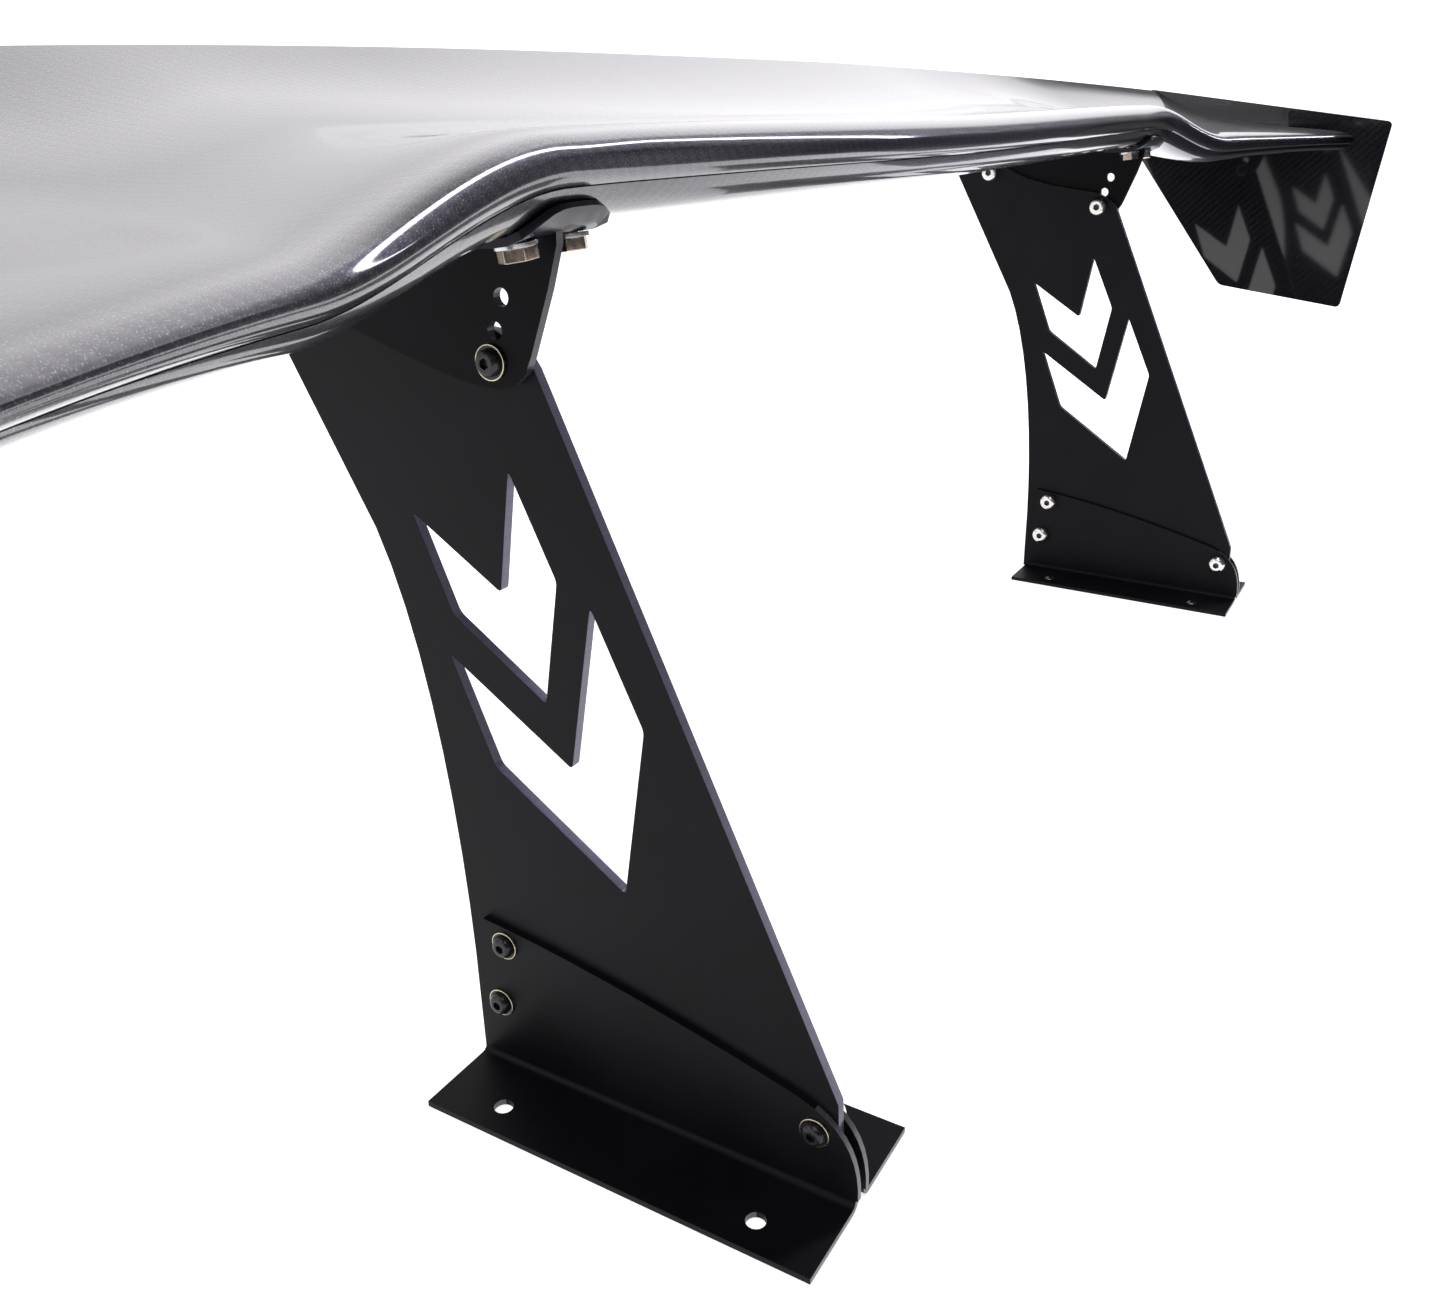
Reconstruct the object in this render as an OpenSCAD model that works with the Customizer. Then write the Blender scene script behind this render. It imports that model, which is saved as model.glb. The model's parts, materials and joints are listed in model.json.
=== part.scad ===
// Racing rear wing: a hollow moulded wing on two cut-out plate stands, with flat end plates.
// +X runs along the span, +Y points to the rear of the car and +Z points up.
// The origin is on the deck, in the middle of the bolt pattern of the four feet.

/* [Wing] */
// Overall span over the outside of both end plates
span = 1520; // [1500:10:1560]
// Chord of the middle of the wing, measured along Y
mid_chord = 214; // [205:1:220]
// Height of the centre of the nose above the deck, at the stands
nose_height = 419; // [418:1:422]
// How far the nose drops from the stands to the outer panels
nose_drop = 26; // [22:1:28]
// How far the tips sweep forward of the middle
tip_sweep = 118; // [90:1:125]
// Wall thickness of the moulded skins
skin_wall = 2; // [1.6:0.1:2.4]

/* [Stands] */
// Distance between the centre planes of the two stands
stand_spacing = 832; // [800:2:850]
// Thickness of an upright plate
upright_plate = 5; // [4:0.5:6]
// Thickness of the sheet that the feet are folded from
foot_sheet = 3; // [2:0.5:3]
// Length of a foot from front to rear
foot_length = 200; // [190:2:210]
// Distance of a deck hole from the centre plane of its stand
deck_hole_offset = 33; // [28:1:38]
// Distance between the front and rear deck holes
deck_hole_spacing = 134; // [120:2:150]
// Diameter of a deck hole
deck_hole_d = 9; // [6:0.5:10]

/* [Tilt] */
// Travel of the lock screw each way along its slot, in degrees
tilt_range = 5; // [3:0.5:5]
// Running clearance on the radius of the pivot screw
pivot_clearance = 0.05; // [0.02:0.01:0.1]

/* [End plates] */
// Thickness of an end plate
plate_sheet = 3; // [2:0.5:3]

/* [Hidden] */
$fn = 48;

// Planform of the wing: u is the distance from the middle of the car
nose_front = 19;
half_span = span / 2;
half_spacing = stand_spacing / 2;
sweep_start = 378;
drop_start = half_spacing + 9;
drop_length = 155;
tail_height = 460;
tail_fall = 22;
tail_sweep_start = 300;
tip_chord = 204;
thin_start = half_spacing + 25;
thin_length = 308;
tip_thinning = 0.44;

// Section of the wing as shares of the chord: along it, and square to it
upper_curve = [[0.010, -0.056], [-0.035, -0.010], [-0.010, 0.085], [0.130, 0.095], [0.340, -0.190],
    [0.740, -0.085], [1, 0]];
lower_curve = [[0.010, -0.058], [0.035, -0.175], [0.120, -0.152], [0.460, -0.187], [0.820, -0.157],
    [1, -0.014]];
skin_steps = 15;
tail_wall = 1.3;
bond_gap = 0.3;

// Stand profile, seen from the side as [y, z]; the slot's angle is above the horizontal
pivot = [64.5, 343.5];
slot_radius = 105;
slot_angle = 14.5;
slot_width = 6.6;
lock_point = pivot + slot_radius * [cos(slot_angle), sin(slot_angle)];
foot_holes = [[82.5, 70.5], [87, 36.5], [-80, 34.5]];
height_holes = [[62, 355.5], [58, 368]];
upper_chevron = [[117, 275], [72, 247], [64, 300], [43, 257], [52, 201], [99, 232]];
lower_chevron = [[103, 213], [40, 173], [27, 249], [3, 200], [15, 119], [82, 163]];
chevron_corner = 2.5;
foot_reach = 48;

// Fasteners: M6 button heads on the stands, M8 hex heads under the flanges
screw_r = 3;
thread_gap = 0.05;
hole_r = 3.5;
head_r = 5.5;
head_h = 3.3;
washer_r = 7;
washer_h = 1.2;
nut_r = 8;
nut_h = 7;
nut_thread = 4.4;
nut_socket = 5;
socket = 4;
thread_depth = 9;
hex_across = 13;
hex_h = 4.8;
hex_screw_r = 4;
hex_hole_r = 4.2;
hex_washer_r = 8;
hex_washer_h = 1.6;
small_screw_r = 2.5;
small_hole_r = 2.7;
small_head_r = 4.75;
small_head_h = 2.75;
small_socket = 3;
small_washer_r = 5;
small_washer_h = 1;

// Stack of the stand, outward from its centre plane
upright_face = upright_plate / 2;
web_gap = 0.3;
web_face = upright_face + web_gap;
web_wall = 4;
web_outer = web_face + web_wall;
flange_reach = 28;
flange_wall = 3;
flange_corner = 0.09;
flange_gap = 0.8;
flange_screw_x = 17;
flange_shares = [0.22, 0.54];
flange_front = 0.04;
flange_web = 0.15;
flange_rear = 0.80;
flange_x = half_spacing + web_face + web_wall / 2;

// Pieces inside the wing
hardpoint_wall = 9.8;
hardpoint_reach = 27;
rib_wall = 10;
end_screw_shares = [0.22, 0.34, 0.46];
end_plate_corner = 5;

black = [0.06, 0.06, 0.07];
carbon = [0.16, 0.16, 0.19];
brass = [0.72, 0.66, 0.42];
steel = [0.70, 0.70, 0.72];

// Smooth step from 0 to 1
function ease(t) = let (c = max(0, min(1, t))) c * c * (3 - 2 * c);
function choose(n, k) = k == 0 ? 1 : choose(n, k - 1) * (n - k + 1) / k;
function sum_points(v, i = 0) = i == len(v) - 1 ? v[i] : v[i] + sum_points(v, i + 1);
// Point of a Bezier curve at share t
function bezier(p, t) = let (n = len(p) - 1)
    sum_points([for (i = [0:n]) choose(n, i) * pow(1 - t, n - i) * pow(t, i) * p[i]]);
function unit(v) = v / norm(v);
// Closed outline with each corner cut back by r and rounded
function rounded(points, r, steps = 4) = let (n = len(points)) [for (i = [0:n - 1])
    let (
        p = points[i],
        back = unit(points[(i + n - 1) % n] - p),
        on = unit(points[(i + 1) % n] - p)
    )
    for (k = [0:steps]) bezier([p + r * back, p, p + r * on], k / steps)];

// Nose and tail of the section at distance u from the middle, as [y, z]
function nose(u) = [
    nose_front - tip_sweep * pow(max(0, u - sweep_start) / (half_span - sweep_start), 2),
    nose_height - 3 + 3 * ease(u / 400) - nose_drop * ease((u - drop_start) / drop_length)
];
function tail(u) = [
    nose_front + mid_chord - (mid_chord + tip_sweep - tip_chord)
        * pow(max(0, u - tail_sweep_start) / (half_span - tail_sweep_start), 2),
    tail_height - tail_fall * pow(u / half_span, 3)
];
// The section gets thinner towards the tips, except at its tail
function thickness(u, chord_share) =
    1 - tip_thinning * ease((u - thin_start) / thin_length) * (1 - pow(max(0, chord_share), 3));
// Point of a section curve at share t and span position x, moved inward by depth
function section_point(curve, t, x, depth, inward) =
    let (
        u = abs(x),
        a = nose(u),
        chord = tail(u) - a,
        across = [-chord[1], chord[0]],
        p = bezier(curve, t),
        thin = thickness(u, p[0]),
        q = bezier(curve, min(1, t + 0.01)) - bezier(curve, max(0, t - 0.01)),
        slope = unit(q[0] * chord + q[1] * thin * across),
        square = [-slope[1], slope[0]] * inward
    )
    a + p[0] * chord + p[1] * thin * across + square * depth;
function wall_at(t) = skin_wall + (tail_wall - skin_wall) * pow(t, 6);
function upper_point(t, x, depth) = section_point(upper_curve, t, x, depth, -1);
function lower_point(t, x, depth) = section_point(lower_curve, t, x, depth, 1);
// Share of the lower curve, measured back from its front, in equal steps of the curve
function shares(from, to, steps) = [for (i = [0:steps]) from + (to - from) * i / steps];
// Unit vector that points down and away from the lower skin at share t
function lower_normal(t, x) =
    let (
        back = lower_point(t + 0.01, x, 0) - lower_point(t - 0.01, x, 0),
        out = lower_point(t, x + 1, 0) - lower_point(t, x - 1, 0)
    )
    -unit(cross([2, out[0], out[1]], [0, back[0], back[1]]));

// Closed band swept along the span: each ring is an outer row followed by an inner row
module band(rings, row) {
    count = len(rings);
    ring = 2 * row;
    points = [for (r = rings) each r];
    side = [for (i = [0:count - 2]) for (j = [0:ring - 1])
        let (a = i * ring + j, b = i * ring + (j + 1) % ring)
        each [[a, b, b + ring], [a, b + ring, a + ring]]];
    last = (count - 1) * ring;
    first_cap = [for (j = [0:row - 2]) each [
        [j, ring - 1 - j, ring - 2 - j], [j, ring - 2 - j, j + 1]]];
    last_cap = [for (j = [0:row - 2]) each [
        [last + j, last + ring - 2 - j, last + ring - 1 - j],
        [last + j, last + j + 1, last + ring - 2 - j]]];
    polyhedron(points, concat(side, first_cap, last_cap));
}
function ring_points(x, outer, inner) = concat(
    [for (p = outer) [x, p[0], p[1]]],
    [for (i = [len(inner) - 1:-1:0]) [x, inner[i][0], inner[i][1]]]);

// Span stations, closer together where the nose drops
tip = half_span - plate_sheet;
half_stations = concat([0, 60, 120, 180, 240, 290, 330, 360], [for (x = [380:17:600]) x],
    [for (i = [1:7]) 600 + (tip - 600) * i / 7]);
stations = concat([for (i = [len(half_stations) - 1:-1:1]) -half_stations[i]], half_stations);

module side(name) {
    mirror([name == "left" ? 0 : 1, 0, 0])
        children();
}
// Frame of a stand: +X points outboard from its centre plane
module stand(name) {
    side(name) translate([half_spacing, 0, 0]) children();
}
// Turns a drawing in [y, z] into a plate from x to x + wall
module plate(x, wall) {
    translate([x, 0, 0]) rotate([90, 0, 90]) linear_extrude(wall) children();
}
// Rod along +X
module rod(r, length) {
    rotate([0, 90, 0]) cylinder(r = r, h = length);
}
module at(p, x = 0) {
    translate([x, p[0], p[1]]) children();
}
module ring_washer(outer, bore, h) {
    difference() {
        rod(outer, h);
        translate([-1, 0, 0]) rod(bore, h + 2);
    }
}
// Button head from x = 0 outward, with its hex socket
module button_head(r, h, hex) {
    rim = h * 0.12;
    face = r * 0.55;
    dome = [for (a = [0:15:90]) [face + (r - face) * cos(a), rim + (h - rim) * sin(a)]];
    difference() {
        rotate([0, 90, 0]) rotate_extrude() polygon(concat([[0, 0], [r, 0]], dome, [[0, h]]));
        translate([h * 0.4, 0, 0]) rotate([0, 90, 0]) cylinder(d = hex / cos(30), h = h, $fn = 6);
    }
}
// Button-head screw: the head starts at x = 0 and the shank runs inboard
module screw(length, r = screw_r, head = head_r, h = head_h, hex = socket) {
    union() {
        button_head(head, h, hex);
        translate([-length, 0, 0]) rod(r, length + 0.1);
    }
}
// Round domed nut with a hex socket; its seat is at x = 0 and it points inboard
module domed_nut() {
    difference() {
        rotate([0, 0, 180]) button_head(nut_r, nut_h, nut_socket);
        translate([-nut_thread, 0, 0]) rod(screw_r + thread_gap, nut_thread + 1);
    }
}

// Side views of the plates, as [y, z]
module upright_outline() {
    rear = [for (t = [0:0.1:1]) bezier([[103.5, 30], [104.5, 120], [116, 215], [139.5, 265]], t)];
    corner = [for (t = [0:0.25:1]) bezier([[46, 337.5], [48.5, 343], [50.5, 348.5], [66, 355]], t)];
    polygon(concat([[-88, 1], [-90, 30], [-89, 50]], corner,
        [[108, 360], [134, 366], [152, 374], [166, 381], [188, 382], [203, 377]],
        [for (i = [10:-1:0]) rear[i]], [[103, 1]]));
}
module foot_outline() {
    front = [for (t = [0:0.1:1]) bezier([[-101, 6], [-101, 30], [-92, 45], [-66, 51]], t)];
    top = [for (t = [0.1:0.1:1]) bezier([[-66, 51], [-20, 63], [40, 76], [95, 81]], t)];
    polygon(concat(front, top, [[foot_length / 2 - 1, foot_sheet * 2]]));
}
module web_outline(top_row) {
    corner = [for (t = [0:0.2:1]) bezier([[45.5, 347], [50, 333], [60, 331.5], [80, 335]], t)];
    polygon(concat([[31, 388], [36, 372]], corner,
        [[95, 338.5], [115, 344], [138, 351.5], [176, 352], [190, 370]], top_row));
}

module wing_upper_skin() {
    color(carbon)
        band([for (x = stations) ring_points(x,
            [for (t = shares(0, 1, skin_steps)) upper_point(t, x, 0)],
            [for (t = shares(0, 1, skin_steps)) upper_point(t, x, wall_at(t))])], skin_steps + 1);
}
module wing_lower_skin() {
    color(carbon) difference() {
        band([for (x = stations) ring_points(x,
            [for (t = shares(0, 1, skin_steps)) lower_point(t, x, wall_at(t))],
            [for (t = shares(0, 1, skin_steps)) lower_point(t, x, 0)])], skin_steps + 1);
        for (name = ["left", "right"]) flange_screws(name) translate([-20, 0, 0]) rod(hex_hole_r, 30);
    }
}

// Places its child at each flange screw, with +X pointing down and away from the wing
module flange_screws(name) {
    for (across = [-1, 1]) for (t = flange_shares)
        let (
            x = flange_x + across * flange_screw_x,
            normal = lower_normal(t, x)
        )
        side(name) at(lower_point(t, x, 0), x)
            rotate([0, -asin(normal[2]), atan2(normal[1], normal[0])])
                translate([flange_gap + flange_wall, 0, 0]) children();
}
// Share at which the flange starts at span position x: its front corners are rounded
function flange_start(x) = flange_front + flange_corner * pow(abs(x - flange_x) / flange_reach, 4);
module bracket(name) {
    steps = 12;
    top = [for (t = shares(flange_web, flange_rear, steps)) lower_point(t, flange_x,
        -flange_gap - flange_wall / 2)];
    color(black) difference() {
        union() {
            stand(name) plate(web_face, web_wall) web_outline([for (i = [steps:-1:0]) top[i]]);
            side(name) band([for (i = [-5:5])
                let (
                    x = flange_x + i * flange_reach / 5,
                    row = shares(flange_start(x), flange_rear, steps)
                )
                ring_points(x,
                    [for (t = row) lower_point(t, x, -flange_gap)],
                    [for (t = row) lower_point(t, x, -flange_gap - flange_wall)])], steps + 1);
        }
        stand(name) at(pivot, web_face - 1) rod(screw_r + pivot_clearance, web_wall + 2);
        stand(name) for (p = height_holes) at(p, web_face - 1) rod(hole_r, web_wall + 2);
        stand(name) arc_slot();
        flange_screws(name) {
            translate([-2 * flange_wall, 0, 0]) rod(hex_hole_r, 3 * flange_wall);
            rod(hex_washer_r + web_gap, hex_washer_h);
        }
    }
}
// Slot round the pivot that the lock screw runs in
module arc_slot() {
    for (a = [-tilt_range, tilt_range])
        at(pivot) rotate([a, 0, 0]) translate([web_face - 1, lock_point[0] - pivot[0],
            lock_point[1] - pivot[1]]) rod(slot_width / 2, web_wall + 2);
    at(pivot, web_face - 1) rotate([slot_angle - tilt_range, 0, 0]) rotate([90, 0, 90])
        rotate_extrude(angle = 2 * tilt_range, $fn = 96)
            translate([slot_radius - slot_width / 2, 0]) square([slot_width, web_wall + 2]);
}
module hardpoint(name) {
    row = shares(0.10, 0.60, 10);
    depth = skin_wall + bond_gap;
    color(steel) difference() {
        side(name) band([for (i = [-3:3]) let (x = flange_x + i * hardpoint_reach / 3) ring_points(x,
            [for (t = row) lower_point(t, x, depth + hardpoint_wall)],
            [for (t = row) lower_point(t, x, depth)])], len(row));
        flange_screws(name) translate([-30, 0, 0]) rod(hex_screw_r + thread_gap, 30);
    }
}
module tip_rib(name) {
    row = shares(0.12, 0.72, 12);
    depth = skin_wall + bond_gap;
    color(black) difference() {
        side(name) band([for (x = [tip - rib_wall, tip - rib_wall / 2, tip]) ring_points(x,
            [for (t = row) upper_point(facing_share(t), x, depth)],
            [for (t = row) lower_point(t, x, depth)])], len(row));
        end_plate_holes(name) translate([-20, 0, 0]) rod(small_screw_r + thread_gap, 40);
    }
}
// Share of the upper curve that lies across the section from share t of the lower curve
function facing_share(t) = t * 0.9 + 0.12;
// Points midway between the two skins at the tip, where the end plate screws sit
module end_plate_holes(name) {
    for (t = end_screw_shares)
        side(name) at((upper_point(facing_share(t), tip, 0) + lower_point(t, tip, 0)) / 2, half_span)
            children();
}
module end_plate(name) {
    color(black) difference() {
        side(name) plate(tip, plate_sheet)
            polygon(rounded([[114, 440], [-131, 409], [-111, 224], [15, 240], [121, 377]],
                end_plate_corner));
        end_plate_holes(name) translate([-20, 0, 0]) rod(small_hole_r, 40);
    }
}
module end_plate_washers(name) {
    color(steel) end_plate_holes(name) ring_washer(small_washer_r, small_hole_r, small_washer_h);
}
module end_plate_screws(name) {
    color(black) end_plate_holes(name) translate([small_washer_h, 0, 0])
        screw(plate_sheet + thread_depth, small_screw_r, small_head_r, small_head_h, small_socket);
}
module bracket_washers(name) {
    color(steel) flange_screws(name) ring_washer(hex_washer_r, hex_hole_r, hex_washer_h);
}
module bracket_screws(name) {
    grip = hex_washer_h + flange_wall + flange_gap + skin_wall;
    color(brass) flange_screws(name) translate([hex_washer_h, 0, 0]) union() {
        rotate([0, 90, 0]) cylinder(d = hex_across / cos(30), h = hex_h, $fn = 6);
        translate([-grip - thread_depth, 0, 0]) rod(hex_screw_r, grip + thread_depth + 0.1);
    }
}
module upright(name) {
    color(black) stand(name) difference() {
        plate(-upright_face, upright_plate) difference() {
            upright_outline();
            polygon(rounded(upper_chevron, chevron_corner));
            polygon(rounded(lower_chevron, chevron_corner));
        }
        at(pivot, -10) rod(screw_r + thread_gap, 20);
        at(lock_point, -10) rod(screw_r + thread_gap, 20);
        for (p = foot_holes) at(p, -10) rod(hole_r, 20);
    }
}
// Folded foot: a side sheet against the upright and a flange on the deck
module foot(name, direction) {
    bend = foot_sheet * 2;
    color(black) stand(name) mirror([direction == "outer" ? 0 : 1, 0, 0])
        translate([upright_face, 0, 0]) difference() {
            union() {
                plate(0, foot_sheet) foot_outline();
                translate([bend, -foot_length / 2, bend]) rotate([-90, 0, 0]) rotate([0, 0, 90])
                    rotate_extrude(angle = 90) fold_section();
                translate([bend, -foot_length / 2, 0])
                    cube([foot_reach - upright_face - bend, foot_length, foot_sheet]);
            }
            for (p = foot_holes) at(p, -1) rod(hole_r, foot_sheet + 2);
            for (y = [-1, 1]) translate([deck_hole_offset - upright_face, y * deck_hole_spacing / 2, -1])
                cylinder(d = deck_hole_d, h = foot_sheet + 2);
        }
}
module fold_section() {
    translate([foot_sheet, 0]) square([foot_sheet, foot_length]);
}
module foot_washers(name) {
    color(brass) stand(name) for (p = foot_holes) at(p, upright_face + foot_sheet)
        ring_washer(washer_r, hole_r, washer_h);
}
module foot_screws(name) {
    grip = upright_plate + 2 * foot_sheet + washer_h;
    color(black) stand(name) for (p = foot_holes) at(p, upright_face + foot_sheet + washer_h)
        screw(grip + nut_thread);
}
module foot_nuts(name) {
    color(steel) stand(name) for (p = foot_holes) at(p, -upright_face - foot_sheet) domed_nut();
}
// Screws, washers and nuts at the pivot and the lock, which hold the bracket's web to the upright
module top_washer(name, p) {
    color(brass) stand(name) at(p, web_outer + web_gap) ring_washer(washer_r, hole_r, washer_h);
}
module top_screw(name, p) {
    color(black) stand(name) at(p, web_outer + web_gap + washer_h)
        screw(web_outer + web_gap + washer_h + upright_face + nut_thread);
}
module top_nut(name, p) {
    color(steel) stand(name) at(p, -upright_face) domed_nut();
}

wing_upper_skin();
wing_lower_skin();
hardpoint("left");  // hardpoint_left
hardpoint("right");  // hardpoint_right
tip_rib("left");  // tip_rib_left
tip_rib("right");  // tip_rib_right
end_plate("left");  // end_plate_left
end_plate("right");  // end_plate_right
end_plate_screws("left");  // end_plate_screws_left
end_plate_screws("right");  // end_plate_screws_right
end_plate_washers("left");  // end_plate_washers_left
end_plate_washers("right");  // end_plate_washers_right
bracket("left");  // bracket_left
bracket("right");  // bracket_right
bracket_screws("left");  // bracket_screws_left
bracket_screws("right");  // bracket_screws_right
bracket_washers("left");  // bracket_washers_left
bracket_washers("right");  // bracket_washers_right
upright("left");  // upright_left
upright("right");  // upright_right
foot("left", "outer");  // foot_outer_left
foot("right", "outer");  // foot_outer_right
foot("left", "inner");  // foot_inner_left
foot("right", "inner");  // foot_inner_right
foot_screws("left");  // foot_screws_left
foot_screws("right");  // foot_screws_right
foot_washers("left");  // foot_washers_left
foot_washers("right");  // foot_washers_right
foot_nuts("left");  // foot_nuts_left
foot_nuts("right");  // foot_nuts_right
top_screw("left", pivot);  // pivot_screw_left
top_screw("right", pivot);  // pivot_screw_right
top_washer("left", pivot);  // pivot_washer_left
top_washer("right", pivot);  // pivot_washer_right
top_nut("left", pivot);  // pivot_nut_left
top_nut("right", pivot);  // pivot_nut_right
top_screw("left", lock_point);  // lock_screw_left
top_screw("right", lock_point);  // lock_screw_right
top_washer("left", lock_point);  // lock_washer_left
top_washer("right", lock_point);  // lock_washer_right
top_nut("left", lock_point);  // lock_nut_left
top_nut("right", lock_point);  // lock_nut_right
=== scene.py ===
"""Racing rear wing: surfaces, materials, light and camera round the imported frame."""
import json
import math

import bmesh
import bpy
from mathutils import Matrix, Vector


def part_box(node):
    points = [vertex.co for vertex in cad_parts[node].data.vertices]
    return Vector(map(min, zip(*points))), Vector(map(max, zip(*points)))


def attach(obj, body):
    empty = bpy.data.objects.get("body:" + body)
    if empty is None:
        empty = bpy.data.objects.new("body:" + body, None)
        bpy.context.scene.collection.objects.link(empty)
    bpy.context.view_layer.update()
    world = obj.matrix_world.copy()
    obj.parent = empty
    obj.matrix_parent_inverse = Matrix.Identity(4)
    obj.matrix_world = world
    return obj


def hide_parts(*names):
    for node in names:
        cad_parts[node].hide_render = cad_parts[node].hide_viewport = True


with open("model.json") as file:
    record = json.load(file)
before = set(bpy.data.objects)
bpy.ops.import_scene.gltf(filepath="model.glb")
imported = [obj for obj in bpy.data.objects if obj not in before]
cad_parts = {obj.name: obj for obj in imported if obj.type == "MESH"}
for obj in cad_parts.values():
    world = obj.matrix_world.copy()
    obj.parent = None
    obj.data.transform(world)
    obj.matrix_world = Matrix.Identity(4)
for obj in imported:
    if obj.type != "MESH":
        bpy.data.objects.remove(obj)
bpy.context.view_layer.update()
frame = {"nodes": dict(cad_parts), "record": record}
NODES = frame["nodes"]
SIDES = ("left", "right")
MM = 0.001


# ---------------------------------------------------------------- camera
SENSOR_WIDTH = 36.0
FOCAL_LENGTH = 32.66
CAMERA_PLACE = (-0.8110, -0.2637, 0.4372)
CAMERA_YAW, CAMERA_PITCH, CAMERA_ROLL = 30.33, -22.81, -0.22    # degrees
NEAREST_SEEN = 10 * MM


def make_camera():
    """It stands ahead of the right-hand tip, at the wing's height, and looks across the span."""
    yaw, pitch, roll = (math.radians(a) for a in (CAMERA_YAW, CAMERA_PITCH, CAMERA_ROLL))
    level = math.cos(pitch)
    forward = Vector((math.cos(yaw) * level, math.sin(yaw) * level, math.sin(pitch)))
    right = forward.cross(Vector((0, 0, 1))).normalized()
    right = Matrix.Rotation(-roll, 3, forward) @ right
    up = right.cross(forward)
    camera = bpy.data.objects.new("camera", bpy.data.cameras.new("camera"))
    camera.matrix_world = Matrix((right, up, -forward)).transposed().to_4x4()
    camera.location = CAMERA_PLACE
    camera.data.sensor_width = SENSOR_WIDTH
    camera.data.lens = FOCAL_LENGTH
    camera.data.clip_start = NEAREST_SEEN
    bpy.context.collection.objects.link(camera)
    bpy.context.scene.camera = camera


# ---------------------------------------------------------------- node graphs
def opaque(colour):
    """A colour or a grey with its alpha. A socket comes back as it is."""
    if isinstance(colour, bpy.types.NodeSocket):
        return colour
    return (*colour, 1) if isinstance(colour, tuple) else (colour, colour, colour, 1)


class Graph:
    """A node tree, and short ways to add nodes to it."""

    def __init__(self, tree):
        self.tree = tree

    def feed(self, socket, value):
        """Links a socket to another one, or sets its own value."""
        if isinstance(value, bpy.types.NodeSocket):
            self.tree.links.new(value, socket)
        else:
            socket.default_value = value

    def node(self, kind, inputs=(), **settings):
        made = self.tree.nodes.new("ShaderNode" + kind)
        for name, value in settings.items():
            setattr(made, name, value)
        for key, value in dict(inputs).items():
            self.feed(made.inputs[key], value)
        return made

    def math(self, operation, *values):
        return self.node("Math", enumerate(values), operation=operation).outputs[0]

    def scaled(self, colour, share):
        """A colour times a number."""
        return self.node("VectorMath", {0: colour, "Scale": share}, operation="SCALE").outputs[0]

    def ramp(self, value, stops):
        """Piecewise colour or grey ramp from (position, colour) pairs."""
        made = self.node("ValToRGB", {0: value})
        elements = made.color_ramp.elements
        for _ in stops[2:]:
            elements.new(0.5)
        for element, (place, colour) in zip(elements, stops):
            element.position = place
            element.color = opaque(colour)
        return made.outputs[0]

    def mix_numbers(self, share, first, second):
        return self.node("Mix", {0: share, 2: first, 3: second}).outputs[0]

    def mix_colours(self, share, first, second):
        inputs = {0: share, 6: opaque(first), 7: opaque(second)}
        return self.node("Mix", inputs, data_type="RGBA").outputs[2]


class Surface(Graph):
    """A Principled material."""

    def __init__(self, name, colour, **values):
        self.material = bpy.data.materials.new(name)
        self.material.use_nodes = True
        super().__init__(self.material.node_tree)
        self.shader = self.tree.nodes["Principled BSDF"]
        self.set(Base_Color=opaque(colour), **values)

    def set(self, **values):
        for name, value in values.items():
            self.feed(self.shader.inputs[name.replace("_", " ")], value)

    def place(self):
        return self.node("TexCoord").outputs["Object"]

    def noise(self, vector, scale, detail, stretch=(1, 1, 1)):
        place = self.node("Mapping", {"Vector": vector, "Scale": stretch}).outputs[0]
        return self.node("TexNoise", {"Vector": place, "Scale": scale, "Detail": detail}).outputs[0]

    def bump(self, height, distance, strength):
        inputs = {"Height": height, "Distance": distance, "Strength": strength}
        return self.node("Bump", inputs).outputs[0]


# ---------------------------------------------------------------- materials
def dimmed(colour, share):
    return tuple(c * share for c in colour)


TOW = 2.0 * MM                      # width of one flat tow of the cloth
TOW_ROUNDNESS, FLOAT_ROUNDNESS = 2.5, 4
FIBRE_ALONG, FIBRE_ACROSS = 60.0, 2600.0
CLOTH_RELIEF, FIBRE_RELIEF, COAT_RELIEF = 0.22 * MM, 0.35, 1.0 * MM
COAT_IOR = 1.55
SHEET_GRAIN, EDGE_GRAIN, TURNED_GRAIN = 0.03 * MM, 0.04 * MM, 0.02 * MM


def twill(surface, across, along, tow):
    """2/2 twill of flat tows. Returns the share of the warp and the height of the cloth."""
    u = surface.math("DIVIDE", across, tow)
    v = surface.math("DIVIDE", along, tow)
    column, row = surface.math("FLOOR", u), surface.math("FLOOR", v)
    phase = surface.math("FRACT", surface.math("DIVIDE", surface.math("ADD", column, row), 4))
    warp = surface.math("LESS_THAN", phase, 0.5)

    def arch(value, power):
        centred = surface.math("SUBTRACT", surface.math("MULTIPLY", value, 2), 1)
        distance = surface.math("ABSOLUTE", centred)
        return surface.math("SUBTRACT", 1, surface.math("POWER", distance, power))

    def float_of(line, cell):
        quarter = surface.math("DIVIDE", surface.math("ADD", line, cell), 4)
        twice = surface.math("MULTIPLY", surface.math("FRACT", quarter), 2)
        return arch(surface.math("FRACT", twice), FLOAT_ROUNDNESS)

    warp_arch = arch(surface.math("FRACT", u), TOW_ROUNDNESS)
    weft_arch = arch(surface.math("FRACT", v), TOW_ROUNDNESS)
    warp_height = surface.math("MULTIPLY", warp_arch, float_of(v, column))
    weft_height = surface.math("MULTIPLY", weft_arch, float_of(u, row))
    return warp, surface.mix_numbers(warp, weft_height, warp_height)


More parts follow.
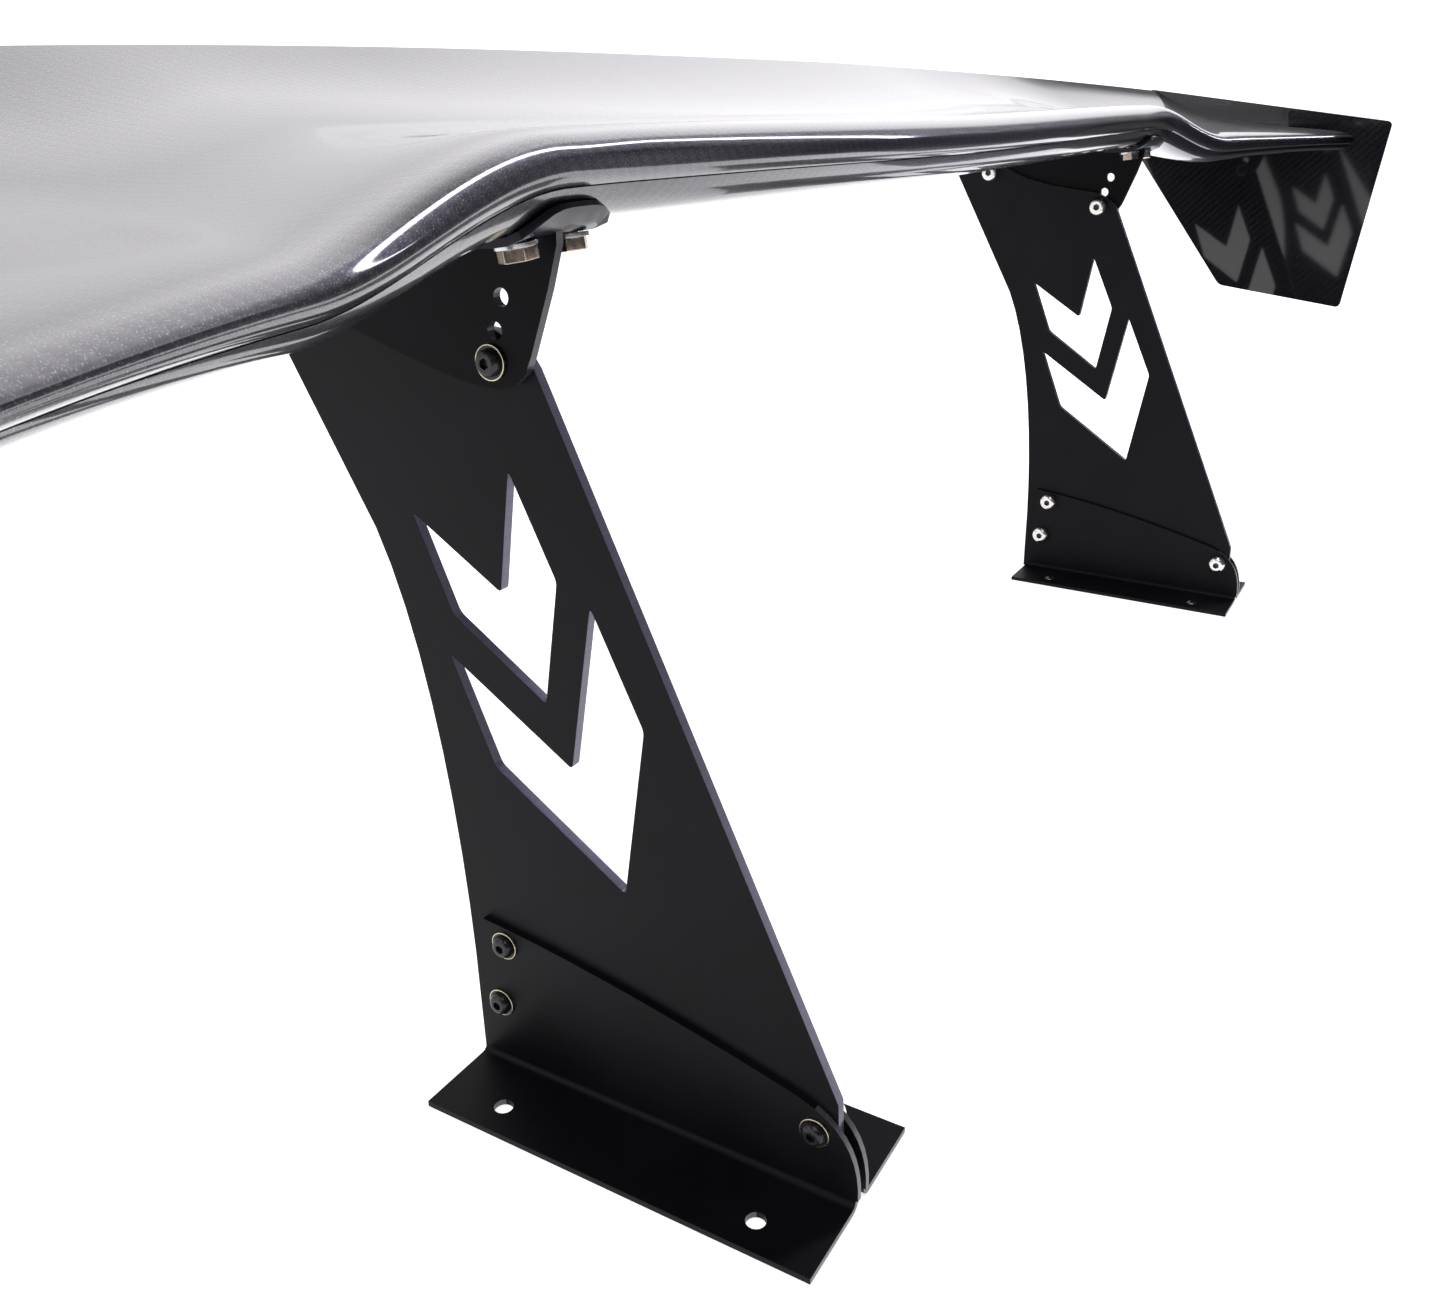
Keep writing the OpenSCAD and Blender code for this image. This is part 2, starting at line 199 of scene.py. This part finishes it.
def carbon(name, light, dark, fleck, roughness, relief, ripple, coat_roughness, axes=None):
    """Clear-coated carbon twill, with the sheen of the tows painted into their colour. It lies along
    the UV map Weave, or along two object axes.
    """
    surface = Surface(name, light, Roughness=roughness, Metallic=1.0,
                      Coat_Weight=1.0, Coat_Roughness=coat_roughness, Coat_IOR=COAT_IOR)
    across, along = axes or (0, 1)
    coordinates = surface.place() if axes else surface.node("UVMap", uv_map="Weave").outputs[0]
    split = surface.node("SeparateXYZ", {0: coordinates})
    warp, height = twill(surface, split.outputs[across], split.outputs[along], TOW)

    stretch_warp, stretch_weft = [FIBRE_ALONG] * 3, [FIBRE_ALONG] * 3
    stretch_warp[across] = FIBRE_ACROSS
    stretch_weft[along] = FIBRE_ACROSS
    weft_fibres = surface.noise(coordinates, scale=1, detail=2, stretch=stretch_weft)
    warp_fibres = surface.noise(coordinates, scale=1, detail=2, stretch=stretch_warp)
    fibres = surface.mix_numbers(warp, weft_fibres, warp_fibres)
    mottle = surface.noise(coordinates, scale=40, detail=4)
    shade = surface.math("MULTIPLY_ADD", fibres, 1.0, 0.5)
    patch = surface.math("MULTIPLY_ADD", mottle, 0.5, 0.75)
    # The warp tows take the light colour and the weft tows the dark one. This painted sheen stands in
    # for how each tow direction reflects the light.
    tow_sheen_tone = surface.mix_colours(warp, dark, light)
    cloth = surface.scaled(tow_sheen_tone, surface.math("MULTIPLY", shade, patch))
    speckle = surface.noise(coordinates, scale=1500, detail=2)
    sparks = surface.ramp(speckle, [(0.58, 0.0), (0.70, 1.0)])
    surface.set(Base_Color=surface.mix_colours(sparks, cloth, fleck))

    relief_height = surface.math("ADD", height, surface.math("MULTIPLY", fibres, FIBRE_RELIEF))
    surface.set(Normal=surface.bump(relief_height, CLOTH_RELIEF, relief))
    ripple_height = surface.noise(coordinates, scale=7, detail=2)
    surface.set(Coat_Normal=surface.bump(ripple_height, COAT_RELIEF, ripple))
    return surface.material


def black_metal(name, colour, rough, specular):
    """Satin black anodised sheet with a fine grain and faint marks from handling."""
    surface = Surface(name, colour, Specular_IOR_Level=specular)
    place = surface.place()
    fine = surface.noise(place, scale=2600, detail=2)
    cloud = surface.noise(place, scale=22, detail=5)
    marks = surface.noise(place, scale=160, detail=6, stretch=(1, 3, 0.6))
    tones = [(0.3, dimmed(colour, 0.8)), (0.72, dimmed(colour, 1.35))]
    surface.set(Base_Color=surface.ramp(cloud, tones))
    low, high = rough
    spread = surface.math("MULTIPLY_ADD", cloud, (high - low), low)
    surface.set(Roughness=surface.math("MULTIPLY_ADD", marks, 0.08, spread))
    surface.set(Normal=surface.bump(fine, SHEET_GRAIN, 0.5))
    return surface.material


def cut_edge(name, colour, rough=0.34):
    """Edge of a laser-cut sheet: fine lines square to the sheet, in the colour given. On the black
    sheets that colour is lighter than the sheet, which is a painted highlight.
    """
    surface = Surface(name, colour, Metallic=0.35)
    place = surface.place()
    lines = surface.noise(place, scale=1, detail=3, stretch=(120, 900, 900))
    cloud = surface.noise(place, scale=60, detail=4)
    tones = [(0.25, dimmed(colour, 0.72)), (0.75, colour)]
    surface.set(Base_Color=surface.ramp(lines, tones))
    surface.set(Roughness=surface.math("MULTIPLY_ADD", cloud, 0.2, rough - 0.1))
    surface.set(Normal=surface.bump(lines, EDGE_GRAIN, 0.5))
    return surface.material


def turned_metal(name, colour, rough, metallic=1.0, wear=0.3):
    """Small fastener: fine turned or plated grain, with a slightly uneven finish."""
    surface = Surface(name, colour, Metallic=metallic)
    place = surface.place()
    cloud = surface.noise(place, scale=420, detail=4)
    grain = surface.noise(place, scale=5200, detail=2)
    tones = [(0.3, dimmed(colour, 1 - wear)), (0.7, colour)]
    surface.set(Base_Color=surface.ramp(cloud, tones))
    surface.set(Roughness=surface.math("MULTIPLY_ADD", cloud, 0.16, rough - 0.08))
    surface.set(Normal=surface.bump(grain, TURNED_GRAIN, 0.4))
    return surface.material


FINISHES = {
    # In both carbon finishes, light and dark are the painted sheen of the same tow in its two
    # directions.
    "carbon": (carbon, dict(
        light=(0.042, 0.039, 0.043), dark=(0.026, 0.025, 0.033), fleck=(0.20, 0.185, 0.21),
        roughness=0.3, relief=0.1, ripple=0.15, coat_roughness=0.055)),
    "carbon_plate": (carbon, dict(
        light=(0.012, 0.012, 0.0145), dark=(0.007, 0.007, 0.0085), fleck=(0.011, 0.011, 0.012),
        roughness=0.4, relief=0.12, ripple=0.0, coat_roughness=0.04, axes=(1, 2))),
    "black_aluminium": (black_metal, dict(
        colour=(0.0042, 0.0042, 0.0055), rough=(0.34, 0.46), specular=0.10)),
    "bracket_aluminium": (black_metal, dict(
        colour=(0.003, 0.003, 0.004), rough=(0.26, 0.38), specular=0.06)),
    "flange_aluminium": (black_metal, dict(
        colour=(0.014, 0.015, 0.021), rough=(0.16, 0.24), specular=0.12)),
    "bare_aluminium": (cut_edge, dict(colour=(0.62, 0.62, 0.65))),
    # Painted highlight: the uprights' cut edges are in a lighter lavender than their black sheet.
    "cut_edge": (cut_edge, dict(colour=(0.13, 0.127, 0.18))),
    # Painted highlight: the bracket's cut edges and bevels are lighter than its black web.
    "bracket_edge": (cut_edge, dict(colour=(0.045, 0.045, 0.052), rough=0.26)),
    # Painted highlight: the feet's front edges are lighter than their black sheet.
    "foot_edge": (cut_edge, dict(colour=(0.12, 0.12, 0.13))),
    "black_screw": (turned_metal, dict(colour=(0.03, 0.03, 0.032), rough=0.26, metallic=0.6)),
    "bronze_screw": (turned_metal, dict(colour=(0.50, 0.41, 0.34), rough=0.24)),
    "brass_washer": (turned_metal, dict(colour=(0.66, 0.60, 0.42), rough=0.28)),
    "bright_nut": (turned_metal, dict(colour=(0.72, 0.70, 0.68), rough=0.2, wear=0.12)),
    "plated_washer": (turned_metal, dict(colour=(0.66, 0.66, 0.67), rough=0.26)),
}


# ---------------------------------------------------------------- pieces
WELD_DISTANCE = 0.001 * MM
FLAT_ANGLE, BEVEL_ANGLE = math.radians(0.6), math.radians(35)
BEVEL_SEGMENTS, BEVEL_PROFILE = 2, 0.6


def body_of(node):
    for body, members in frame["record"]["behaviour"]["bodies"].items():
        if node in members:
            return body


def slot_of(node):
    return next(s["material_slot"] for s in frame["record"]["subparts"] if s["node"] == node)


def piece(node, mesh, *materials):
    """Shows a mesh in place of a CAD node and lets it ride on that node's body."""
    made = bpy.data.objects.new(node + "_look", mesh)
    bpy.context.collection.objects.link(made)
    for material in materials:
        mesh.materials.append(material)
    smoothing = made.modifiers.new("even_normals", "WEIGHTED_NORMAL")
    smoothing.keep_sharp = True
    smoothing.weight = 100
    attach(made, body_of(node))
    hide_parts(node)
    return made


def welded(node):
    """A working copy of a CAD node's mesh, with its points joined."""
    made = bmesh.new()
    made.from_mesh(NODES[node].data)
    bmesh.ops.remove_doubles(made, verts=made.verts, dist=WELD_DISTANCE)
    return made


def keep_sharp(made, degrees):
    """Breaks the shading along the edges where faces meet at more than an angle."""
    for edge in made.edges:
        if edge.is_manifold and edge.calc_face_angle(0) > math.radians(degrees):
            edge.smooth = False


def to_mesh(made, node):
    mesh = bpy.data.meshes.new(node + "_look")
    made.to_mesh(mesh)
    made.free()
    return mesh


def clean_copy(node, bevel):
    """The CAD mesh of a node with its flat faces joined up and its sharp edges rounded."""
    made = welded(node)
    bmesh.ops.dissolve_limit(made, angle_limit=FLAT_ANGLE, verts=made.verts, edges=made.edges)
    sharp = [e for e in made.edges if e.is_manifold and e.calc_face_angle(0) > BEVEL_ANGLE]
    bmesh.ops.bevel(made, geom=sharp, offset=bevel, segments=BEVEL_SEGMENTS, profile=BEVEL_PROFILE,
                    affect="EDGES", clamp_overlap=True)
    for face in made.faces:
        face.smooth = True
    keep_sharp(made, 32)
    return to_mesh(made, node)


def round_off(node, bevel, *materials, choose=None):
    """A CAD piece with rounded edges. With several materials, choose gives the number for a face."""
    mesh = clean_copy(node, bevel)
    piece(node, mesh, *materials)
    if choose:
        for polygon in mesh.polygons:
            polygon.material_index = choose(polygon)


def upright_edge_highlight(face):
    """1 for the cut edges of an upright, which lie square to the sheet and take a lighter lavender
    colour, a painted highlight.
    """
    return int(abs(face.normal.x) < 0.3)


def foot_front_highlight(face):
    """1 for the front edges of a folded foot, which take a lighter grey, a painted highlight."""
    return int(face.normal.y < -0.4)


def make_bracket(node, looks):
    """T-section: black web whose cut edges are painted paler as a highlight, and a glossy flange
    under the wing.
    """
    low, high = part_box(node)
    middle = (low[0] + high[0]) / 2
    half_web = 2.1 * MM
    mesh = clean_copy(node, 0.3 * MM)
    piece(node, mesh, looks["bracket_aluminium"], looks["flange_aluminium"], looks["bracket_edge"])
    for polygon in mesh.polygons:
        reach = max(abs(mesh.vertices[v].co.x - middle) for v in polygon.vertices)
        if reach > half_web:
            polygon.material_index = 1
        # The cut edges and bevels of the web get the bracket edge colour, a painted highlight.
        elif abs(polygon.normal.x) < 0.9:
            polygon.material_index = 2


# ---------------------------------------------------------------- washers
WASHER_STEPS = 72
LIP_WIDTH = 0.13                            # share of the ring's width
RECESS_DEPTH, CORNER = 0.35, 0.16           # shares of half its height
LEVEL, RECESS_BELOW = 1e-9, 0.9


def box_middle(points):
    return [(min(p[i] for p in points) + max(p[i] for p in points)) / 2 for i in range(3)]


def solids_of(node):
    """The separate solids of a CAD node, as lists of their points."""
    made = welded(node)
    left = set(made.verts)
    solids = []
    while left:
        points, to_visit = [], [left.pop()]
        while to_visit:
            vertex = to_visit.pop()
            points.append(vertex.co.copy())
            for edge in vertex.link_edges:
                other = edge.other_vert(vertex)
                if other in left:
                    left.remove(other)
                    to_visit.append(other)
        solids.append(points)
    made.free()
    return sorted(solids, key=lambda points: tuple(round(c, 4) for c in box_middle(points)))


def washer_profile(hole, rim, half):
    """Section of a washer (radius, height), with two raised lips and the recess between them."""
    lip, dip, soft = LIP_WIDTH * (rim - hole), RECESS_DEPTH * half, CORNER * half
    top = [(hole, half - soft), (hole + soft, half), (hole + lip, half),
           (hole + lip + soft, half - dip), (rim - lip - soft, half - dip),
           (rim - lip, half), (rim - soft, half), (rim, half - soft)]
    return top + [(radius, -height) for radius, height in reversed(top)]


def make_washers(node, ring_material, recess_shade_material):
    """Lathe-built washers in the places of a CAD node's washers, which lie across the X axis. The
    recess floor between the lips is painted dark as shade.
    """
    made = bmesh.new()
    for points in solids_of(node):
        middle = Vector(box_middle(points))
        radii = [math.hypot(p.y - middle.y, p.z - middle.z) for p in points]
        half = max(abs(p.x - middle.x) for p in points)
        section = washer_profile(min(radii), max(radii), half)
        rings = []
        for step in range(WASHER_STEPS):
            angle = 2 * math.pi * step / WASHER_STEPS
            ring = [Vector((h, r * math.cos(angle), r * math.sin(angle))) for r, h in section]
            rings.append([made.verts.new(middle + point) for point in ring])
        for here, after in zip(rings, rings[1:] + rings[:1]):
            for i, (_, height) in enumerate(section):
                j = (i + 1) % len(section)
                face = made.faces.new((here[i], here[j], after[j], after[i]))
                face.smooth = True
                level = abs(height - section[j][1]) < LEVEL
                # The level floor of the recess on each face takes the second material, the black
                # screw finish, as painted shade between the lips.
                face.material_index = int(level and abs(height) < half * RECESS_BELOW)
    bmesh.ops.recalc_face_normals(made, faces=made.faces)
    keep_sharp(made, 50)
    piece(node, to_mesh(made, node), ring_material, recess_shade_material)


# ---------------------------------------------------------------- wing skins
# The same curves as the CAD: the nose and tail lines over the span, and the section between them.
NOSE_FRONT, NOSE_HEIGHT, NOSE_DROP = 19 * MM, 419 * MM, 26 * MM
NOSE_RISE, RISE_LENGTH = 3 * MM, 400 * MM
MID_CHORD, TIP_CHORD = 214 * MM, 204 * MM
TAIL_HEIGHT, TAIL_FALL = 460 * MM, 22 * MM
TIP_SWEEP, SWEEP_START, TAIL_SWEEP_START = 118 * MM, 378 * MM, 300 * MM
TIP_THINNING, THIN_LENGTH, DROP_LENGTH = 0.44, 308 * MM, 155 * MM
DROP_PAST_STAND, THIN_PAST_STAND = 9 * MM, 25 * MM
UPPER_CURVE = ((0.010, -0.056), (-0.035, -0.010), (-0.010, 0.085), (0.130, 0.095), (0.340, -0.190),
               (0.740, -0.085), (1, 0))
LOWER_CURVE = ((0.010, -0.058), (0.035, -0.175), (0.120, -0.152), (0.460, -0.187), (0.820, -0.157),
               (1, -0.014))
SKIN_WALL, TAIL_WALL = 2.0 * MM, 1.3 * MM
SPAN_STEPS, SECTION_STEPS = 190, 66
EVEN_SPACING, NOSE_SPACING = 0.55, 0.45      # the upper section's points lie closer at the nose
SLOPE_STEP = 0.01


def ease(share):
    share = min(1.0, max(0.0, share))
    return share * share * (3 - 2 * share)


def bezier(points, share):
    last = len(points) - 1
    weights = [math.comb(last, i) * (1 - share) ** (last - i) * share ** i for i in range(last + 1)]
    return tuple(sum(w * p[axis] for w, p in zip(weights, points)) for axis in (0, 1))


class Wing:
    """Points of the two skins at a share of the section and a place along the span."""

    def __init__(self):
        self.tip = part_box("wing_upper_skin")[1][0]
        self.half_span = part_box("end_plate_left")[1][0]
        stand = sum(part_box("upright_left")[end][0] for end in (0, 1)) / 2
        self.drop_start = stand + DROP_PAST_STAND
        self.thin_start = stand + THIN_PAST_STAND

    def nose(self, u):
        sweep = max(0.0, u - SWEEP_START) / (self.half_span - SWEEP_START)
        rise = NOSE_RISE * ease(u / RISE_LENGTH) - NOSE_RISE
        return (NOSE_FRONT - TIP_SWEEP * sweep ** 2,
                NOSE_HEIGHT + rise - NOSE_DROP * ease((u - self.drop_start) / DROP_LENGTH))

    def tail(self, u):
        sweep = max(0.0, u - TAIL_SWEEP_START) / (self.half_span - TAIL_SWEEP_START)
        return (NOSE_FRONT + MID_CHORD - (MID_CHORD + TIP_SWEEP - TIP_CHORD) * sweep ** 2,
                TAIL_HEIGHT - TAIL_FALL * (u / self.half_span) ** 3)

    def point(self, curve, share, x, depth):
        """A point of a skin, moved into the wing by depth."""
        u = abs(x)
        nose, tail = Vector(self.nose(u)), Vector(self.tail(u))
        chord = tail - nose
        p = bezier(curve, share)
        fade = 1 - max(0.0, p[0]) ** 3
        thinning = TIP_THINNING * ease((u - self.thin_start) / THIN_LENGTH) * fade
        across = Vector((-chord.y, chord.x)) * (1 - thinning)
        before = bezier(curve, max(0.0, share - SLOPE_STEP))
        after = bezier(curve, min(1.0, share + SLOPE_STEP))
        slope = ((after[0] - before[0]) * chord + (after[1] - before[1]) * across).normalized()
        side = 1 if curve is UPPER_CURVE else -1
        inward = Vector((slope.y, -slope.x)) * side
        y, z = nose + p[0] * chord + p[1] * across + inward * depth
        return Vector((x, y, z))


def skin_mesh(node, wing, curve):
    """A closed shell: the outer face, the inner face, and the strips that join them."""
    shares = [i / SECTION_STEPS for i in range(SECTION_STEPS + 1)]
    if curve is UPPER_CURVE:
        shares = [EVEN_SPACING * s + NOSE_SPACING * s * s for s in shares]
    spans = [wing.tip * (2 * i / SPAN_STEPS - 1) for i in range(SPAN_STEPS + 1)]
    made = bmesh.new()
    weave = made.loops.layers.uv.new("Weave")
    cloth_place = {}

    def grid_of(walls):
        """Rows of points, each at the depth that walls gives, with their places on the cloth."""
        grid = []
        for x in spans:
            row, run, last = [], 0.0, None
            for share, depth in zip(shares, walls):
                place = wing.point(curve, share, x, depth)
                run += (place - last).length if last else 0.0
                last = place
                vertex = made.verts.new(place)
                cloth_place[vertex] = (x, run)
                row.append(vertex)
            grid.append(row)
        return grid

    def quad(a, b, c, d, sharp=False):
        face = made.faces.new((a, b, c, d))
        face.smooth = not sharp
        for loop in face.loops:
            loop[weave].uv = cloth_place[loop.vert]

    outer = grid_of([0.0] * len(shares))
    inner = grid_of([SKIN_WALL + (TAIL_WALL - SKIN_WALL) * share ** 6 for share in shares])
    for i in range(SPAN_STEPS):
        for j in range(SECTION_STEPS):
            quad(outer[i][j], outer[i + 1][j], outer[i + 1][j + 1], outer[i][j + 1])
            quad(inner[i][j], inner[i][j + 1], inner[i + 1][j + 1], inner[i + 1][j])
        for j in (0, SECTION_STEPS):
            quad(outer[i][j], inner[i][j], inner[i + 1][j], outer[i + 1][j], sharp=True)
    for i in (0, SPAN_STEPS):
        for j in range(SECTION_STEPS):
            quad(outer[i][j], outer[i][j + 1], inner[i][j + 1], inner[i][j], sharp=True)
    bmesh.ops.recalc_face_normals(made, faces=made.faces)
    keep_sharp(made, 40)
    return to_mesh(made, node)


# ---------------------------------------------------------------- floor and light
FLOOR_REACH, FLOOR_DROP = 40.0, 0.5 * MM
FLOOR_GLOW = 0.8
# Brightness of the sky by height (Z), and by a mix of depth and height (Y - 0.45 Z + 0.275).
HEIGHT_FADE = ((0.0, 0.8), (0.20, 0.8), (0.50, 1.0), (0.66, 1.0), (0.80, 0.08))
DEPTH_FADE = ((0.0, 0.0), (0.02, 0.0), (0.11, 1.0), (0.64, 1.0), (0.80, 0.66))
HEIGHT_IN_DEPTH, DEPTH_SHIFT = -0.45, 0.275
DARKEST_SKY, SKY_TINT, SKY_STRENGTH = 0.03, (0.985, 0.972, 1.0), 1.7
OVERHEAD_PLACE, OVERHEAD_SIZE, OVERHEAD_POWER = (-1.6, -0.2, 3.0), (3.0, 2.2), 50
STRIP_START, STRIP_END = (0.50, 0.05, 1.60), (8.50, -3.40, 1.60)
STRIP_WIDTH, STRIP_POWER, STRIP_COLOUR = 0.15, 76, (0.86, 0.86, 1.0)


def card(name, corners, faces, material):
    """A flat mesh that belongs to the studio and not to the wing."""
    mesh = bpy.data.meshes.new(name)
    mesh.from_pydata(corners, [], faces)
    mesh.materials.append(material)
    made = bpy.data.objects.new(name, mesh)
    bpy.context.collection.objects.link(made)
    return made


def make_floor():
    """Pale floor that gives off some light of its own, so that it stays pale far from the lamps."""
    paint = Surface("floor_paint", (0.90, 0.90, 0.905), Roughness=0.85, Specular_IOR_Level=0.1,
                    Emission_Color=(1, 1, 1, 1), Emission_Strength=FLOOR_GLOW)
    cloud = paint.noise(paint.place(), scale=3, detail=3)
    tones = [(0.3, (0.89, 0.89, 0.895)), (0.7, (0.91, 0.91, 0.915))]
    paint.set(Base_Color=paint.ramp(cloud, tones))
    signs = ((-1, -1), (1, -1), (1, 1), (-1, 1))
    corners = [(x * FLOOR_REACH, y * FLOOR_REACH, 0) for x, y in signs]
    card("floor", corners, [(0, 1, 2, 3)], paint.material).location.z = -FLOOR_DROP


def make_world():
    """Bright sky behind and beside the wing, and a dim room ahead of it and overhead.

    The camera itself sees a pale background in every direction.
    """
    world = bpy.data.worlds.new("studio")
    bpy.context.scene.world = world
    world.use_nodes = True
    sky = Graph(world.node_tree)
    split = sky.node("SeparateXYZ", {0: sky.node("TexCoord").outputs["Generated"]})
    height, depth = split.outputs["Z"], split.outputs["Y"]
    depth = sky.math("ADD", depth, sky.math("MULTIPLY_ADD", height, HEIGHT_IN_DEPTH, DEPTH_SHIFT))
    brightness = sky.math("MULTIPLY_ADD", sky.ramp(height, HEIGHT_FADE),
                          sky.ramp(depth, DEPTH_FADE), DARKEST_SKY)
    seen = sky.math("MAXIMUM", brightness, sky.node("LightPath").outputs["Is Camera Ray"])
    background = sky.tree.nodes["Background"]
    sky.feed(background.inputs[0], sky.scaled(SKY_TINT, seen))
    background.inputs["Strength"].default_value = SKY_STRENGTH


def dark_flag():
    """Black card ahead of the wing. Only reflections see it, and it darkens the leading edge."""
    near, far, front, back, low, high = 0.05, 4.5, -0.28, -0.12, 0.02, 0.50
    past_plates = 0.85
    wall = [(near, front, low), (far, front, low), (far, front, high), (near, front, high)]
    shelf = [(past_plates, front, low), (far, front, low), (far, back, low), (past_plates, back, low)]
    cloth = Surface("flag_cloth", (0.035, 0.035, 0.05), Roughness=0.9)
    along = cloth.node("SeparateXYZ", {0: cloth.place()}).outputs[0]
    tones = [(0.05, (0.22, 0.22, 0.25)), (0.45, (0.025, 0.025, 0.04))]
    cloth.set(Base_Color=cloth.ramp(along, tones))
    flag = card("dark_flag", wall + shelf, [(0, 1, 2, 3), (4, 5, 6, 7)], cloth.material)
    flag.visible_camera = False
    flag.visible_diffuse = False
    flag.visible_shadow = False


def lamp(name, place, size, power, colour=(1, 1, 1)):
    """Soft rectangular lamp that faces the middle of the floor and that the camera doesn't see."""
    data = bpy.data.lights.new(name, "AREA")
    data.shape = "RECTANGLE"
    data.size, data.size_y = size
    data.energy = power
    data.color = colour
    made = bpy.data.objects.new(name, data)
    made.location = place
    made.rotation_euler = (-Vector(place)).to_track_quat("-Z", "Y").to_euler()
    made.visible_camera = False
    bpy.context.collection.objects.link(made)
    return made


def strip_light():
    """Long thin softbox, facing down. It draws the bright line along the nose."""
    start, end = Vector(STRIP_START), Vector(STRIP_END)
    size = ((end - start).length, STRIP_WIDTH)
    made = lamp("strip", (start + end) / 2, size, STRIP_POWER, STRIP_COLOUR)
    along = (end - start).normalized()
    facing = Vector((0, 0, -1))
    across = facing.cross(along).normalized()
    made.rotation_euler = Matrix((along, -across, -facing)).transposed().to_euler()


def make_stage():
    make_floor()
    make_world()
    lamp("overhead", OVERHEAD_PLACE, OVERHEAD_SIZE, OVERHEAD_POWER)
    strip_light()
    dark_flag()
    bpy.context.scene.view_settings.view_transform = "Standard"


# ---------------------------------------------------------------- the whole object
FASTENERS = ("foot_screws", "foot_nuts", "pivot_screw", "pivot_nut", "lock_screw", "lock_nut",
             "bracket_screws", "bracket_washers", "end_plate_screws")
WASHERS = ("foot_washers", "pivot_washer", "lock_washer", "end_plate_washers")
FASTENER_BEVEL, HEX_HEAD_BEVEL = 0.15, 0.7       # millimetres


def make_side(side, looks):
    """The stand, the bracket, the end plate and the fasteners of one side."""
    round_off(f"upright_{side}", 0.35 * MM, looks["black_aluminium"], looks["cut_edge"],
              choose=upright_edge_highlight)
    round_off(f"end_plate_{side}", 0.4 * MM, looks["carbon_plate"])
    for which in ("outer", "inner"):
        round_off(f"foot_{which}_{side}", 0.3 * MM, looks["black_aluminium"], looks["foot_edge"],
                  choose=foot_front_highlight)
    make_bracket(f"bracket_{side}", looks)
    for kind in FASTENERS:
        name = f"{kind}_{side}"
        bevel = HEX_HEAD_BEVEL if kind == "bracket_screws" else FASTENER_BEVEL
        round_off(name, bevel * MM, looks[slot_of(name)])
    for kind in WASHERS:
        name = f"{kind}_{side}"
        # The black screw finish paints the shade in the washers' recess.
        make_washers(name, looks[slot_of(name)], looks["black_screw"])


def main():
    make_camera()
    looks = {name: make(name, **values) for name, (make, values) in FINISHES.items()}
    for name, node in NODES.items():
        for slot in node.material_slots:
            slot.material = looks[slot_of(name)]
    wing = Wing()
    for name, curve in (("wing_upper_skin", UPPER_CURVE), ("wing_lower_skin", LOWER_CURVE)):
        piece(name, skin_mesh(name, wing, curve), looks["carbon"])
    for side in SIDES:
        make_side(side, looks)
    make_stage()


main()
